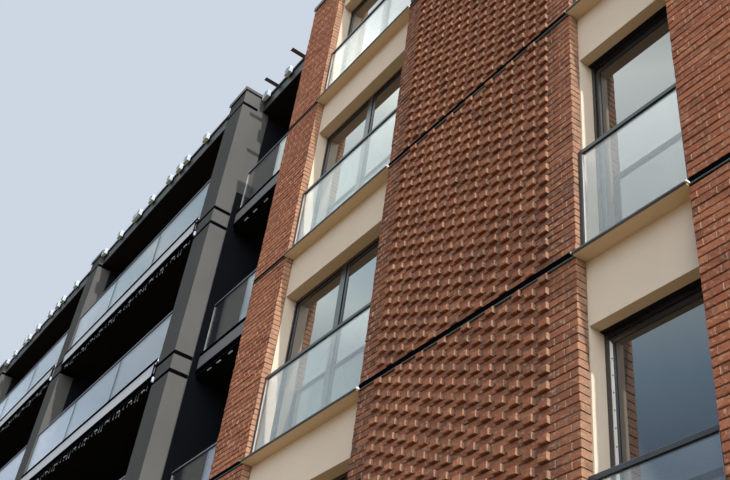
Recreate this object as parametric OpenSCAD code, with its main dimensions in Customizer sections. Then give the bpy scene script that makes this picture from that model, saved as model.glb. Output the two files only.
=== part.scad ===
/* [Storeys] */
// Height from the ground to the first band of the brickwork
plinth_h = 450; // [300:75:900]
// Height of one storey, from band to band
storey_h = 3150; // [3000:75:3600]
// Number of storeys
storeys = 5; // [2:1:6]
// Height of a window head above its storey's band
head_h = 2440; // [2300:10:2600]

/* [Brick block] */
// Width of the two plain brick piers at the ends
pier_w = 910; // [700:10:1400]
// Width of the wide window openings
wide_opening_w = 2410; // [1800:10:3000]
// Width of the panel with the raised headers
relief_w = 3080; // [2000:10:5000]
// Width of the narrow window openings
narrow_opening_w = 1165; // [900:5:1700]
// Thickness of the brick leaf in front of the rendered reveals
leaf_t = 110; // [100:5:130]
// Depth from the brick face to the window frames
reveal_d = 270; // [180:5:290]
// Thickness of the render boards on the window jambs
lining_t = 15; // [10:1:25]

/* [Bands] */
// Height of the slot that runs through the brickwork at each storey
band_h = 75; // [60:5:95]
// Depth of the slot
band_d = 40; // [20:5:60]
// Height of the steel angle's lip at the bottom of the slot
angle_h = 20; // [12:1:30]
// How far the lip stands in front of the wall
angle_out = 12; // [8:1:20]
// Thickness of the steel angle
angle_t = 5; // [3:1:8]

/* [Loggia wing] */
// Number of wide loggia bays
wide_bays = 2; // [1:1:4]
// Clear width of a wide loggia bay
wide_bay_w = 6720; // [5600:20:7600]
// Clear width of the narrow loggia bay beside the brick block
narrow_bay_w = 2600; // [2200:20:3400]
// Width of a pilaster
pilaster_w = 650; // [500:10:900]
// Depth of a pilaster
pilaster_d = 340; // [250:10:440]
// Depth from the front to the wall at the back of the loggias
loggia_d = 1900; // [1400:50:2400]
// How far the narrow bay's floors stand back from the front
narrow_recess = 470; // [450:10:700]
// How far the roof edge of the wide bays stands back from the front
roof_recess = 110; // [60:5:200]
// Height of a pilaster's collar, and thickness of the loggia floors
collar_h = 350; // [250:10:450]
// Height of a shadow line above and below a collar
shadow_h = 45; // [20:5:60]
// Depth of a shadow line
shadow_d = 25; // [10:5:40]

/* [Walls, floors and roof] */
// Depth of the building from its front to its rear
building_d = 12000; // [9000:100:15000]
// Thickness of the outer walls
wall_t = 400; // [360:10:500]
// Thickness of the wall at the back of the loggias
back_wall_t = 300; // [200:10:400]
// Thickness of the floors between the storeys
slab_t = 250; // [180:10:320]
// Thickness of the roof deck
deck_t = 300; // [200:10:400]
// How far the walls rise above the roof deck
upstand_h = 50; // [30:5:300]
// Thickness of the metal copings
coping_t = 70; // [40:5:100]
// How far the copings stand out from the walls
coping_out = 30; // [10:5:50]
// How far the copings run past the inner face of the walls
coping_in = 20; // [10:5:60]
// How far the copings fall towards the roof
coping_fall = 15; // [5:1:25]
// How far the outer lip of a coping hangs below the top of the wall
coping_drip = 35; // [15:5:60]
// Thickness of that lip
coping_lip = 8; // [4:1:12]

/* [Windows and sills] */
// Depth of a window frame from front to back
frame_d = 80; // [60:5:100]
// Width of the fixed frame round a window
frame_w = 50; // [40:5:70]
// Width of a sash inside its frame
sash_w = 50; // [40:5:70]
// Width of the post between two sashes
post_w = 100; // [80:5:120]
// How far a sash lies behind the face of its frame
sash_set = 12; // [6:1:20]
// Clearance between a sash and its frame
sash_gap = 0.5; // [0.3:0.1:0.9]
// Width and depth of the bevel from a sash down to its glass
bevel = 14; // [8:1:20]
// Chamfer on the long edges of sashes, guard posts, channels and strips
edge_cut = 4; // [2:0.5:6]
// Thickness of the glazing
glazing_t = 28; // [20:2:44]
// How far a sill's front edge stands out from the bricks
sill_out = 55; // [30:5:60]
// Thickness of a sill at its back edge
sill_t = 25; // [20:1:30]
// How far a sill falls from its back edge to its front edge
sill_fall = 12; // [4:1:16]
// Thickness of the ledge board under a front sill
ledge_t = 15; // [8:1:15]
// How far the ledge board stays behind the sill's front edge
ledge_set = 12; // [6:1:20]
// Width of the drip under a sill's front edge
drip_w = 3; // [2:0.5:5]
// How far a sill's top lies below the top of the band
sill_drop = 35; // [20:1:45]
// Length of the end pieces of a front sill
sill_end_w = 12; // [8:1:20]
// How far an end piece rises above the sill
sill_end_up = 4; // [2:1:8]
// Height of the rear window sills above the floor
rear_sill_h = 900; // [700:10:1100]

/* [Window guards] */
// Height of the guard rails above the band
guard_h = 1145; // [1000:5:1200]
// Width and depth of the guard posts
guard_post_w = 40; // [30:1:50]
// Height of the guard's top rail
guard_rail_h = 45; // [30:1:60]
// Depth from the brick face to the middle of a guard
guard_y = 65; // [40:1:80]
// Height of the guard's bottom rail at its back
guard_foot_h = 40; // [25:1:50]
// Gap between a guard and the jamb on each side
guard_gap = 12; // [5:1:20]
// Thickness of the guard glass
guard_glass_t = 12; // [8:1:20]
// Depth of the grooves in which the glass of all guards is held
groove_d = 12; // [6:1:15]
// Clearance of the glass in its grooves
glass_fit = 0.3; // [0.2:0.1:0.8]
// Rounding of the top edges of all guard rails
rail_r = 8; // [3:1:10]

/* [Loggia guards and doors] */
// Height of the loggia guards above the floor
loggia_guard_h = 1140; // [1000:5:1200]
// Height of the channel that holds the glass, above the floor
channel_h = 140; // [120:5:160]
// Depth of the channel that holds the glass
channel_d = 60; // [50:5:80]
// Height of the bed in the channel on which the glass stands
channel_bed = 40; // [20:5:80]
// Thickness of the loggia glass
loggia_glass_t = 17; // [12:1:22]
// Panes of glass in the guard of a wide bay
guard_panes = 3; // [2:1:4]
// Gap between two panes of glass
pane_gap = 12; // [5:1:20]
// Height of the thin rail on the loggia glass
loggia_rail_h = 30; // [20:1:40]
// Depth of the thin rail on the loggia glass
loggia_rail_d = 40; // [25:1:50]
// Thickness of the metal strips on the floor edges
strip_t = 20; // [10:1:40]
// How far the strip rises above the loggia floor
strip_up = 110; // [60:5:115]
// Height of the strip on the floor edge
strip_h = 360; // [300:5:420]
// Width of the glazed doors in a wide bay
wide_door_w = 3600; // [2400:50:4400]
// Width of the glazed doors in the narrow bay
narrow_door_w = 1500; // [1000:50:1900]
// Height of the glazed doors
door_h = 2250; // [2050:10:2300]
// Lights in the doors of a wide bay
door_lights = 3; // [2:1:4]
// Width of the fixed frame round the doors
door_frame_w = 40; // [30:5:60]
// Width of the frame of one door leaf
door_leaf_w = 60; // [45:5:80]
// Width of the post between two door leaves
door_post_w = 40; // [30:5:60]
// Depth from the loggia wall's face to the door frames
door_set = 60; // [20:5:100]

/* [Hidden] */

// Cuts run past the faces they open by this much
cut = 1;
// Flats that make up a rounded edge
round_steps = 3;
block_w = 2 * pier_w + wide_opening_w + relief_w + narrow_opening_w;
wing_w = (wide_bays + 1) * pilaster_w + wide_bays * wide_bay_w + narrow_bay_w;
total_w = wing_w + block_w;
wall_top = level(storeys);
deck_top = wall_top - upstand_h;
deck_z = deck_top - deck_t;
// Undersides of the sills, measured from their storey's level
front_sill_z = -sill_drop - sill_t;
rear_sill_z = rear_sill_h - sill_t;
// Front edge of a plain sill, and of one with a drip that hides the front of the ledge board
ledge_y = ledge_set - sill_out;
plain_edge = [[-sill_out, sill_t - sill_fall], [-sill_out, 0]];
drip_edge = concat(plain_edge,
  [[ledge_y - drip_w, -ledge_t], [ledge_y, -ledge_t], [ledge_y, 0]]);
// Front face of the window guards
guard_front = guard_y - guard_post_w / 2;

// Openings are [left edge, width, lights]
front_openings = [
  [wing_w + pier_w, wide_opening_w, 2],
  [wing_w + pier_w + wide_opening_w + relief_w, narrow_opening_w, 1]
];
wing_rear_openings = concat(
  [for (i = [0 : wide_bays - 1], q = [1, 3])
    [bay_x(i) + wide_bay_w * q / 4 - wide_opening_w / 2, wide_opening_w, 2]],
  [[bay_x(wide_bays) + (narrow_bay_w - narrow_opening_w) / 2, narrow_opening_w, 1]]
);
rear_openings = concat(wing_rear_openings, front_openings);
// Bays are [left edge, width, front of the floors, front of the roof, panes, door width, door lights]
bays = [for (i = [0 : wide_bays])
  i < wide_bays
    ? [bay_x(i), wide_bay_w, 0, roof_recess, guard_panes, wide_door_w, door_lights]
    : [bay_x(i), narrow_bay_w, narrow_recess, narrow_recess, 1, narrow_door_w, 1]];

// Top of the band of storey k, and of the wall when k is the number of storeys
function level(k) = plinth_h + k * storey_h;
function pilaster_x(i) = i * (pilaster_w + wide_bay_w);
function bay_x(i) = pilaster_x(i) + pilaster_w;
function door_x(bay) = bay[0] + (bay[1] - bay[5]) / 2;
// The wall that is left between openings, from one end to the other
function piers_between(first, last, openings) = [
  for (i = [0 : len(openings)])
    [i == 0 ? first : openings[i - 1][0] + openings[i - 1][1],
     i == len(openings) ? last : openings[i][0]]
];

// Sets a form at a place measured from the front left corner at the ground
module at(x, y, z) {
  translate([x - total_w / 2, y - building_d / 2, z]) children();
}

// Turns what is drawn for the front to face the rear
module facing_rear() {
  mirror([0, 1, 0]) children();
}

// A box from its low corner, as a length, depth and height
module box_at(x, y, z, size) {
  at(x, y, z) cube(size);
}

// A brick pier with the slots of the bands, which return into the jambs
module banded_pier(x, w, left_return, right_return) {
  difference() {
    box_at(x, 0, 0, [w, wall_t, wall_top]);
    for (k = [0 : storeys - 1]) {
      slot_z = level(k) - band_h;
      box_at(x - cut, -cut, slot_z, [w + 2 * cut, band_d + cut, band_h]);
      if (left_return) {
        box_at(x - cut, -cut, slot_z, [band_d + cut, leaf_t + cut, band_h]);
      }
      if (right_return) {
        box_at(x + w - band_d, -cut, slot_z, [band_d + cut, leaf_t + cut, band_h]);
      }
    }
  }
}

// The walls above, between and below the windows of each column
module window_panels(openings, sill_z) {
  for (opening = openings, k = [0 : storeys]) {
    low = k == 0 ? 0 : level(k - 1) + head_h;
    high = k == storeys ? wall_top : level(k) + sill_z;
    box_at(opening[0], leaf_t, low, [opening[1], wall_t - leaf_t, high - low]);
  }
}

// Draws a section, as depth and height, along X
module along_x(length) {
  rotate([90, 0, 90]) linear_extrude(length) children();
}

// Points of a quarter circle, clockwise from an angle
function quarter(centre, r, from) = [
  for (step = [0 : round_steps])
    let (angle = from - step * 90 / round_steps)
    [centre[0] + r * cos(angle), centre[1] + r * sin(angle)]
];

// Sections of a fixed frame and of a sash, as depth and distance in from the edge
function frame_section(width) = [[0, 0], [0, width], [frame_d, width], [frame_d, 0]];
function sash_section(width) = [
  [sash_set + edge_cut, 0], [sash_set, edge_cut], [sash_set, width - bevel],
  [sash_set + bevel, width], [frame_d, width], [frame_d, 0]
];

// One side of a frame along X, mitred at both ends
module mitred_bar(length, width, section) {
  reach = width + cut;
  intersection() {
    along_x(length) polygon(section);
    translate([0, frame_d + cut, 0]) rotate([90, 0, 0]) linear_extrude(frame_d + 2 * cut)
      polygon([[-cut, -cut], [length + cut, -cut], [length - reach, reach], [reach, reach]]);
  }
}

module ring_rails(x, y, z, w, h, width, section) {
  at(x, y, z) mitred_bar(w, width, section);
  at(x, y, z + h) mirror([0, 0, 1]) mitred_bar(w, width, section);
}

module ring_stiles(x, y, z, w, h, width, section) {
  at(x, y, z) mirror([1, 0, 0]) rotate([0, -90, 0]) mitred_bar(h, width, section);
  at(x + w, y, z) rotate([0, -90, 0]) mitred_bar(h, width, section);
}

// One kind of piece of a glazed opening, whose widths are those of its frame, sashes and posts
module glazed(piece, x, w, y, low, high, lights, widths) {
  frame = widths[0];
  sash = widths[1];
  post = widths[2];
  cell_w = (w - 2 * frame - (lights - 1) * post) / lights;
  sash_z = low + frame + sash_gap;
  sash_h = high - low - 2 * (frame + sash_gap);
  if (piece == "rails") ring_rails(x, y, low, w, high - low, frame, frame_section(frame));
  if (piece == "stiles") ring_stiles(x, y, low, w, high - low, frame, frame_section(frame));
  for (i = [0 : lights - 1]) {
    cell_x = x + frame + i * (cell_w + post);
    sash_x = cell_x + sash_gap;
    leaf_w = cell_w - 2 * sash_gap;
    if (piece == "rails") ring_rails(sash_x, y, sash_z, leaf_w, sash_h, sash, sash_section(sash));
    if (piece == "stiles") {
      ring_stiles(sash_x, y, sash_z, leaf_w, sash_h, sash, sash_section(sash));
      if (i > 0) {
        box_at(cell_x - post, y, low + frame, [post, frame_d, high - low - 2 * frame]);
      }
    }
    if (piece == "panes") {
      box_at(sash_x + sash, y + sash_set + bevel, sash_z + sash,
        [leaf_w - 2 * sash, glazing_t, sash_h - 2 * sash]);
    }
  }
}

// One kind of window piece in every opening of a wall
module windows(openings, sill_z, piece) {
  for (opening = openings, k = [0 : storeys - 1]) {
    glazed(piece, opening[0], opening[1], reveal_d, level(k) + sill_z, level(k) + head_h,
      opening[2], [frame_w, sash_w, post_w]);
  }
}

// Sills fall outwards from the frames
module sills(openings, sill_z, edge) {
  for (opening = openings, k = [0 : storeys - 1]) {
    at(opening[0], 0, level(k) + sill_z) along_x(opening[1])
      polygon(concat(edge, [[reveal_d, 0], [reveal_d, sill_t]]));
  }
}

module left_pier() {
  color("#8a4a34") banded_pier(wing_w, pier_w, false, true);
}

module relief_panel() {
  color("#7c4030") banded_pier(wing_w + pier_w + wide_opening_w, relief_w, true, true);
}

module right_pier() {
  color("#8a4a34") banded_pier(total_w - pier_w, pier_w, true, false);
}

module front_panels() {
  color("#cdbfa6") window_panels(front_openings, front_sill_z);
}

// Render boards on the jambs, down to the sills, and under the front of the sills
module jamb_linings() {
  color("#d8cdb8") for (opening = front_openings, k = [0 : storeys - 1]) {
    for (x = [opening[0], opening[0] + opening[1] - lining_t]) {
      at(x, 0, level(k)) along_x(lining_t) polygon([
        [leaf_t, sill_top(leaf_t)], [reveal_d, sill_top(reveal_d)],
        [reveal_d, head_h], [leaf_t, head_h]
      ]);
    }
    box_at(opening[0], ledge_y, level(k) + front_sill_z - ledge_t,
      [opening[1], leaf_t - ledge_y, ledge_t]);
  }
}

module front_sills() {
  color("#4b4e52") sills(front_openings, front_sill_z, drip_edge);
}

// The ends of the sills lap the lips of the steel angles
module sill_ends() {
  color("#d9d7cf") for (opening = front_openings, k = [0 : storeys - 1]) {
    for (x = [opening[0] - sill_end_w, opening[0] + opening[1]]) {
      at(x, 0, level(k)) along_x(sill_end_w) polygon([
        [-sill_out, front_sill_z], [-angle_out, front_sill_z],
        [-angle_out, sill_top(-angle_out) + sill_end_up],
        [-sill_out, sill_top(-sill_out) + sill_end_up]
      ]);
    }
  }
}

module window_rails() {
  color("#3a3d42") windows(front_openings, front_sill_z, "rails");
}

module window_stiles() {
  color("#3a3d42") windows(front_openings, front_sill_z, "stiles");
}

module window_panes() {
  color("#9fb2c0") windows(front_openings, front_sill_z, "panes");
}

// Height of a front sill's top above its band at a depth
function sill_top(y) = -sill_drop - sill_fall * (reveal_d - y) / (reveal_d + sill_out);

// Half the width of the groove for a pane
function half_groove(glass_t) = glass_t / 2 + glass_fit;

// A post with a groove towards +X, cut to the fall of the sill below it
module guard_post(height) {
  w = guard_post_w;
  e = edge_cut;
  near = w / 2 - half_groove(guard_glass_t);
  far = w / 2 + half_groove(guard_glass_t);
  foot = sill_top(guard_front) - cut;
  difference() {
    translate([0, 0, foot]) linear_extrude(height - foot) polygon([
      [e, 0], [w - e, 0], [w, e], [w, near], [w - groove_d, near], [w - groove_d, far],
      [w, far], [w, w - e], [w - e, w], [e, w], [0, w - e], [0, e]
    ]);
    translate([-cut, -guard_front, 0]) along_x(w + 2 * cut) polygon([
      [guard_front - cut, foot - cut], [guard_front + w + cut, foot - cut],
      [guard_front + w + cut, sill_top(guard_front + w + cut)],
      [guard_front - cut, sill_top(guard_front - cut)]
    ]);
  }
}

module guard_posts() {
  color("#3a3d42") for (opening = front_openings, k = [0 : storeys - 1]) {
    at(opening[0] + guard_gap, guard_front, level(k)) guard_post(guard_h - guard_rail_h);
    at(opening[0] + opening[1] - guard_gap, guard_front, level(k)) mirror([1, 0, 0])
      guard_post(guard_h - guard_rail_h);
  }
}

// A rail with rounded top edges and a groove from below for the top of the glass
function rail_section(depth, height, glass_t) = concat(
  [[0, 0]], quarter([rail_r, height - rail_r], rail_r, 180),
  quarter([depth - rail_r, height - rail_r], rail_r, 90),
  [[depth, 0], [depth / 2 + half_groove(glass_t), 0],
   [depth / 2 + half_groove(glass_t), groove_d], [depth / 2 - half_groove(glass_t), groove_d],
   [depth / 2 - half_groove(glass_t), 0]]
);

// The bottom rail stands on the sill and carries the glass in a groove
module guard_rails() {
  w = guard_post_w;
  top = guard_foot_h - sill_drop;
  near = w / 2 - half_groove(guard_glass_t);
  far = w / 2 + half_groove(guard_glass_t);
  color("#3a3d42") for (opening = front_openings, k = [0 : storeys - 1]) {
    at(opening[0] + guard_gap, guard_front, level(k) + guard_h - guard_rail_h)
      along_x(opening[1] - 2 * guard_gap) polygon(rail_section(w, guard_rail_h, guard_glass_t));
    at(opening[0] + guard_gap + w, guard_front, level(k))
      along_x(opening[1] - 2 * (guard_gap + w)) polygon([
        [0, sill_top(guard_front)], [0, top - edge_cut], [edge_cut, top], [near, top],
        [near, top - groove_d], [far, top - groove_d], [far, top], [w - edge_cut, top],
        [w, top - edge_cut], [w, sill_top(guard_front + w)]
      ]);
  }
}

module guard_panes_glass() {
  color("#b8c8cc") for (opening = front_openings, k = [0 : storeys - 1]) {
    in = guard_gap + guard_post_w - groove_d + glass_fit;
    low = guard_foot_h - sill_drop - groove_d;
    box_at(opening[0] + in, guard_y - guard_glass_t / 2, level(k) + low,
      [opening[1] - 2 * in, guard_glass_t, guard_h - guard_rail_h + groove_d - glass_fit - low]);
  }
}

module band_angles() {
  piers = piers_between(wing_w, total_w, front_openings);
  lip_in = angle_t - angle_out;
  color("#1d1e20") for (pier = piers, k = [0 : storeys - 1]) {
    at(pier[0], 0, level(k) - band_h) along_x(pier[1] - pier[0]) polygon([
      [-angle_out, 0], [-angle_out, angle_h], [lip_in, angle_h], [lip_in, angle_t],
      [band_d, angle_t], [band_d, 0]
    ]);
  }
}

module block_party_wall() {
  color("#7c4030") box_at(wing_w, wall_t, 0, [wall_t, building_d - 2 * wall_t, wall_top]);
}

module block_end_wall() {
  color("#8a4a34") box_at(total_w - wall_t, wall_t, 0,
    [wall_t, building_d - 2 * wall_t, wall_top]);
}

module block_floors() {
  color("#b5b3ad") for (k = [0 : storeys - 1]) {
    box_at(wing_w + wall_t, wall_t, level(k) - slab_t,
      [block_w - 2 * wall_t, building_d - 2 * wall_t, slab_t]);
  }
}

module block_roof_deck() {
  color("#8d8f90") box_at(wing_w + wall_t, wall_t, deck_z,
    [block_w - 2 * wall_t, building_d - 2 * wall_t, deck_t]);
}

// A coping's section with a fall, and with a lip below its outer edge where drip isn't 0
function coping_section(depth, drip) = concat(
  drip > 0 ? [[coping_lip, 0], [coping_lip, -drip], [0, -drip]] : [[0, 0]],
  [[0, coping_t], [depth, coping_t - coping_fall], [depth, 0]]
);

// A straight coping along X with its outer edge in front, and each end mitred (1) or square (0)
module coping_run(length, drip, start_mitre, end_mitre) {
  depth = coping_out + wall_t + coping_in;
  reach = depth + cut;
  intersection() {
    along_x(length) polygon(coping_section(depth, drip));
    translate([0, 0, -drip - cut]) linear_extrude(drip + coping_t + 2 * cut) polygon([
      [-cut, -cut], [length + cut, -cut],
      [length + cut - end_mitre * (reach + cut), reach],
      [-cut + start_mitre * (reach + cut), reach]
    ]);
  }
}

// The side towards the wing has no lip, because the wing's roof runs up to the wall there
module block_coping() {
  long = building_d + 2 * coping_out;
  wide = block_w + 2 * coping_out;
  color("#2a2c2f") union() {
    at(wing_w - coping_out, -coping_out, wall_top) coping_run(wide, coping_drip, 1, 1);
    at(total_w + coping_out, -coping_out, wall_top) rotate([0, 0, 90])
      coping_run(long, coping_drip, 1, 1);
    at(total_w + coping_out, building_d + coping_out, wall_top) rotate([0, 0, 180])
      coping_run(wide, coping_drip, 1, 1);
    at(wing_w - coping_out, building_d + coping_out, wall_top) rotate([0, 0, 270])
      coping_run(long, 0, 1, 1);
  }
}

module rear_piers(first, last, openings) {
  facing_rear() for (pier = piers_between(first, last, openings)) {
    box_at(pier[0], 0, 0, [pier[1] - pier[0], wall_t, wall_top]);
  }
}

module block_rear_piers() {
  color("#8a4a34") rear_piers(wing_w, total_w, front_openings);
}

module block_rear_panels() {
  color("#cdbfa6") facing_rear() window_panels(front_openings, rear_sill_z);
}

// A pilaster with a collar between two shadow lines at each floor
module pilaster(x) {
  lines = [for (k = [0 : storeys], up = [0, 1])
    if (k + up <= storeys) level(k) - (1 - up) * collar_h];
  core_w = pilaster_w - 2 * shadow_d;
  difference() {
    box_at(x, 0, 0, [pilaster_w, pilaster_d, wall_top]);
    for (z = lines) {
      difference() {
        box_at(x - cut, -cut, z - shadow_h,
          [pilaster_w + 2 * cut, pilaster_d + 2 * cut, shadow_h]);
        box_at(x + shadow_d, shadow_d, z - shadow_h - cut,
          [core_w, pilaster_d, shadow_h + 2 * cut]);
      }
    }
  }
}

module pilasters() {
  color("#5a5c5e") for (i = [0 : wide_bays]) pilaster(pilaster_x(i));
}

// The caps run back over the cross walls, with a fall to the rear and a lip in front
module pilaster_caps() {
  depth = loggia_d + coping_out;
  color("#1d1e20") for (i = [0 : wide_bays]) {
    at(pilaster_x(i) - coping_out, -coping_out, wall_top)
      along_x(pilaster_w + 2 * coping_out) polygon(coping_section(depth, coping_drip));
  }
}

module cross_walls() {
  color("#33363b") for (i = [0 : wide_bays]) {
    box_at(pilaster_x(i), pilaster_d, 0, [pilaster_w, loggia_d - pilaster_d, wall_top]);
  }
}

module wing_end_wall() {
  color("#5a5c5e") box_at(0, loggia_d, 0,
    [wall_t, building_d - wall_t - loggia_d, wall_top]);
}

// The lowest floor of the loggias stands on the ground
module loggia_floors() {
  color("#3c3e41") for (bay = bays, k = [0 : storeys - 1]) {
    low = k == 0 ? 0 : level(k) - collar_h;
    box_at(bay[0], bay[2], low, [bay[1], loggia_d - bay[2], level(k) - low]);
  }
}

// A metal strip on an edge, with its top sloped and its lower edge turned in
module edge_strip(w, h) {
  along_x(w) polygon([
    [0, edge_cut], [0, h - edge_cut], [strip_t, h], [strip_t, 0], [edge_cut, 0]
  ]);
}

module loggia_edge_strips() {
  color("#7b7f84") for (bay = bays, k = [0 : storeys - 1]) {
    at(bay[0], bay[2] - strip_t, level(k) + strip_up - strip_h) edge_strip(bay[1], strip_h);
  }
}

// A channel with a slot from above, in which the glass stands on a bed
module loggia_channels() {
  near = channel_d / 2 - half_groove(loggia_glass_t);
  far = channel_d / 2 + half_groove(loggia_glass_t);
  color("#151618") for (bay = bays, k = [0 : storeys - 1]) {
    at(bay[0], bay[2], level(k)) along_x(bay[1]) polygon([
      [0, 0], [0, channel_h - edge_cut], [edge_cut, channel_h], [near, channel_h],
      [near, channel_bed], [far, channel_bed], [far, channel_h],
      [channel_d - edge_cut, channel_h], [channel_d, channel_h - edge_cut], [channel_d, 0]
    ]);
  }
}

module loggia_glass() {
  top = loggia_guard_h - loggia_rail_h + groove_d - glass_fit;
  color("#a9bcc6") for (bay = bays, k = [0 : storeys - 1]) {
    pane_w = (bay[1] - (bay[4] - 1) * pane_gap) / bay[4];
    for (i = [0 : bay[4] - 1]) {
      box_at(bay[0] + i * (pane_w + pane_gap), bay[2] + (channel_d - loggia_glass_t) / 2,
        level(k) + channel_bed, [pane_w, loggia_glass_t, top - channel_bed]);
    }
  }
}

module loggia_top_rails() {
  color("#1d1e20") for (bay = bays, k = [0 : storeys - 1]) {
    at(bay[0], bay[2] + (channel_d - loggia_rail_d) / 2,
      level(k) + loggia_guard_h - loggia_rail_h)
      along_x(bay[1]) polygon(rail_section(loggia_rail_d, loggia_rail_h, loggia_glass_t));
  }
}

module loggia_wall_piers() {
  doors = [for (bay = bays) [door_x(bay), bay[5]]];
  color("#33363b") for (pier = piers_between(wall_t, wing_w, doors)) {
    box_at(pier[0], loggia_d, 0, [pier[1] - pier[0], back_wall_t, deck_z]);
  }
}

module loggia_wall_heads() {
  color("#33363b") for (bay = bays, k = [0 : storeys]) {
    low = k == 0 ? 0 : level(k - 1) + door_h;
    high = k == storeys ? deck_z : level(k);
    box_at(door_x(bay), loggia_d, low, [bay[5], back_wall_t, high - low]);
  }
}

// One kind of door piece in every loggia
module doors(piece) {
  for (bay = bays, k = [0 : storeys - 1]) {
    glazed(piece, door_x(bay), bay[5], loggia_d + door_set, level(k), level(k) + door_h,
      bay[6], [door_frame_w, door_leaf_w, door_post_w]);
  }
}

module door_rails() {
  color("#26282b") doors("rails");
}

module door_stiles() {
  color("#26282b") doors("stiles");
}

module door_panes() {
  color("#4a5660") doors("panes");
}

module wing_floors() {
  y = loggia_d + back_wall_t;
  color("#b5b3ad") for (k = [0 : storeys - 1]) {
    box_at(wall_t, y, level(k) - slab_t, [wing_w - wall_t, building_d - wall_t - y, slab_t]);
  }
}

module wing_roof_decks() {
  color("#8d8f90") union() {
    box_at(wall_t, loggia_d, deck_z, [wing_w - wall_t, building_d - wall_t - loggia_d, deck_t]);
    for (bay = bays) box_at(bay[0], bay[3], deck_z, [bay[1], loggia_d - bay[3], deck_t]);
  }
}

module wing_roof_strips() {
  color("#4b4e52") for (bay = bays) {
    at(bay[0], bay[3] - strip_t, deck_z) edge_strip(bay[1], deck_t);
  }
}

// Low edges of the loggia roofs, and copings on the wing's end and rear walls
module wing_copings() {
  color("#1d1e20") union() {
    for (bay = bays) {
      at(bay[0], bay[3] - strip_t - coping_out, deck_top) along_x(bay[1]) polygon([
        [0, 0], [0, upstand_h], [wall_t, upstand_h - coping_fall], [wall_t, 0]
      ]);
    }
    at(wing_w - coping_out, building_d + coping_out, wall_top) rotate([0, 0, 180])
      coping_run(wing_w, coping_drip, 0, 1);
    at(-coping_out, building_d + coping_out, wall_top) rotate([0, 0, 270])
      coping_run(building_d + coping_out - loggia_d, coping_drip, 1, 0);
  }
}

module wing_rear_piers() {
  color("#5a5c5e") rear_piers(0, wing_w, wing_rear_openings);
}

module wing_rear_panels() {
  color("#77797b") facing_rear() window_panels(wing_rear_openings, rear_sill_z);
}

module rear_sills() {
  color("#4b4e52") facing_rear() sills(rear_openings, rear_sill_z, plain_edge);
}

module rear_rails() {
  color("#3a3d42") facing_rear() windows(rear_openings, rear_sill_z, "rails");
}

module rear_stiles() {
  color("#3a3d42") facing_rear() windows(rear_openings, rear_sill_z, "stiles");
}

module rear_panes() {
  color("#9fb2c0") facing_rear() windows(rear_openings, rear_sill_z, "panes");
}

left_pier();
relief_panel();
right_pier();
front_panels();
jamb_linings();
front_sills();
sill_ends();
window_rails();
window_stiles();
window_panes();
guard_posts();
guard_rails();
guard_panes_glass();
band_angles();
block_party_wall();
block_end_wall();
block_floors();
block_roof_deck();
block_coping();
block_rear_piers();
block_rear_panels();
pilasters();
pilaster_caps();
cross_walls();
wing_end_wall();
loggia_floors();
loggia_edge_strips();
loggia_channels();
loggia_glass();
loggia_top_rails();
loggia_wall_piers();
loggia_wall_heads();
door_rails();
door_stiles();
door_panes();
wing_floors();
wing_roof_decks();
wing_roof_strips();
wing_copings();
wing_rear_piers();
wing_rear_panels();
rear_sills();
rear_rails();
rear_stiles();
rear_panes();
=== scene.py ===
import math

import bmesh
import bpy
import numpy as np
from mathutils import Matrix, Vector, noise


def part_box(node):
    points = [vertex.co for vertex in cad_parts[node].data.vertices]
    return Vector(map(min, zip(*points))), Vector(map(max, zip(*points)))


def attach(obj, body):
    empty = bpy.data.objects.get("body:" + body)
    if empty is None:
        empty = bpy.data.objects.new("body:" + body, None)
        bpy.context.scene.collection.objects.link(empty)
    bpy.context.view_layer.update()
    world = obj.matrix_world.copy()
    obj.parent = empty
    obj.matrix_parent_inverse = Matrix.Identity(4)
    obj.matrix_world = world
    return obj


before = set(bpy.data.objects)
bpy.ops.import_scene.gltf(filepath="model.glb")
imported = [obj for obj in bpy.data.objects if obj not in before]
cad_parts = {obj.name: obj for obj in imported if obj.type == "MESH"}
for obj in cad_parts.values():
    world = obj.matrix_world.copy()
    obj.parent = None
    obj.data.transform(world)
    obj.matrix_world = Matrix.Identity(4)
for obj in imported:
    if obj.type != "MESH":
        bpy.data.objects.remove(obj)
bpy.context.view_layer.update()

# All lengths are in metres. The front looks towards -Y, and the brick part is at the +X end

# Brickwork: courses of 75 mm, in a bond of alternate headers and stretchers
COURSE = 0.075
JOINT = 0.010
BRICK_H = COURSE - JOINT
HEADER = 0.1025
STRETCHER = 0.215
HALF_BOND = (HEADER + STRETCHER) / 2 + JOINT
FACE_OUT = 0.008
RAISED_OUT = 0.038
RAISED_COLUMNS = 7
BEDDED = 0.002
SHORTEST_BRICK = 0.045
BRICK_EDGE = 0.005
FILLET_OUT = 0.0075
FILLET_LAP = 0.002
FILLET_STRUCK = 0.0015

# Least part of its depth that a joint keeps, where joints are raked out and where they are flush
RAKED = 0.25
FLUSH = 0.80

# How far a brick lies out of line, and how rough its corners are
OUT_OF_LINE = 0.0018
ROUGH_CORNER = 0.0010
SET_OUT = (-0.0030, 0.0040)

# How the firing of a brick differs by chance, by its batch, and where the relief is paler
FIRED_BY_CHANCE = 0.13
FIRED_BY_BATCH = 0.12
FIRED_PALER = 0.27

# Courses below the first band, between two bands and above the last. A band is one course high
PLINTH_COURSES = 5
STOREY_COURSES = 41
TOP_COURSES = 42
STOREYS = 5

# Sizes and places that tell the parts of the building apart
WIDE_BAND = 3.0
NARROW_WINDOW = 2.0
NARROW_BAY = 3.0
BRICK_LEAF_Y = -5.7
SET_BACK_Y = -5.9
BANDED_PILASTER = 0.6
TOP_BAND = 16.0
DECK_Z = 15.95

SEED = 7


# Tools


def deselect_all():
    if bpy.context.mode != "OBJECT":
        bpy.ops.object.mode_set(mode="OBJECT")
    bpy.ops.object.select_all(action="DESELECT")


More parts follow.
